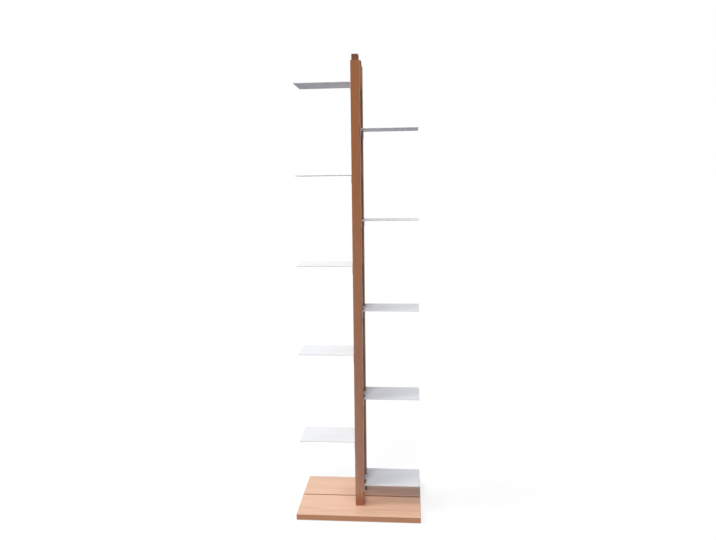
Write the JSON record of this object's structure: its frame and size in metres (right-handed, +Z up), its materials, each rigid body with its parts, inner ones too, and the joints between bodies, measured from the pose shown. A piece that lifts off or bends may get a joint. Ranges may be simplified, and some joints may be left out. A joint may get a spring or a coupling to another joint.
{
  "type": "plant stand",
  "caption": "Tall narrow plant stand: a ladder-like wooden column on a flat wooden base, with thin white sheet-metal shelves hooked over its rungs, alternately left and right.",
  "frame": {"origin": "centre of the base's rectangle, at the floor under the glides", "axes": "+Z up; +X to the right, the way the right-hand shelves reach; +Y from the front to the back"},
  "size_m": [0.51, 0.4, 1.895],
  "materials": {
    "beech": "satin oiled",
    "white_coat": "satin powder coat",
    "zinc_steel": "bright zinc",
    "glide_plastic": "matt"
  },
  "bodies": {
    "stand": {"base_front_board": "beech", "base_rear_board": "beech", "front_upright": "beech", "rear_upright": "beech", "rung_01": "beech", "rung_02": "beech", "rung_03": "beech", "rung_04": "beech", "rung_05": "beech", "rung_06": "beech", "rung_07": "beech", "rung_08": "beech", "rung_09": "beech", "rung_10": "beech", "base_dowels": "beech", "tenon_washers": "zinc_steel", "tenon_screws": "zinc_steel", "foot_glides": "glide_plastic"},
    "shelf_right_5": {"shelf_right_5": "white_coat"},
    "shelf_left_5": {"shelf_left_5": "white_coat"},
    "shelf_right_4": {"shelf_right_4": "white_coat"},
    "shelf_left_4": {"shelf_left_4": "white_coat"},
    "shelf_right_3": {"shelf_right_3": "white_coat"},
    "shelf_left_3": {"shelf_left_3": "white_coat"},
    "shelf_right_2": {"shelf_right_2": "white_coat"},
    "shelf_left_2": {"shelf_left_2": "white_coat"},
    "shelf_right_1": {"shelf_right_1": "white_coat"},
    "shelf_left_1": {"shelf_left_1": "white_coat"}
  },
  "joints": [
    {"name": "unhook_shelf_right_5", "type": "slide", "parent": "stand", "child": "shelf_right_5", "axis": [0.5736, 0, 0.8192], "range_m": [0, 0.06]},
    {"name": "unhook_shelf_left_5", "type": "slide", "parent": "stand", "child": "shelf_left_5", "axis": [-0.5736, 0, 0.8192], "range_m": [0, 0.06]},
    {"name": "unhook_shelf_right_4", "type": "slide", "parent": "stand", "child": "shelf_right_4", "axis": [0.5736, 0, 0.8192], "range_m": [0, 0.06]},
    {"name": "unhook_shelf_left_4", "type": "slide", "parent": "stand", "child": "shelf_left_4", "axis": [-0.5736, 0, 0.8192], "range_m": [0, 0.06]},
    {"name": "unhook_shelf_right_3", "type": "slide", "parent": "stand", "child": "shelf_right_3", "axis": [0.5736, 0, 0.8192], "range_m": [0, 0.06]},
    {"name": "unhook_shelf_left_3", "type": "slide", "parent": "stand", "child": "shelf_left_3", "axis": [-0.5736, 0, 0.8192], "range_m": [0, 0.06]},
    {"name": "unhook_shelf_right_2", "type": "slide", "parent": "stand", "child": "shelf_right_2", "axis": [0.5736, 0, 0.8192], "range_m": [0, 0.06]},
    {"name": "unhook_shelf_left_2", "type": "slide", "parent": "stand", "child": "shelf_left_2", "axis": [-0.5736, 0, 0.8192], "range_m": [0, 0.06]},
    {"name": "unhook_shelf_right_1", "type": "slide", "parent": "stand", "child": "shelf_right_1", "axis": [0.5736, 0, 0.8192], "range_m": [0, 0.06]},
    {"name": "unhook_shelf_left_1", "type": "slide", "parent": "stand", "child": "shelf_left_1", "axis": [-0.5736, 0, 0.8192], "range_m": [0, 0.06]}
  ]
}
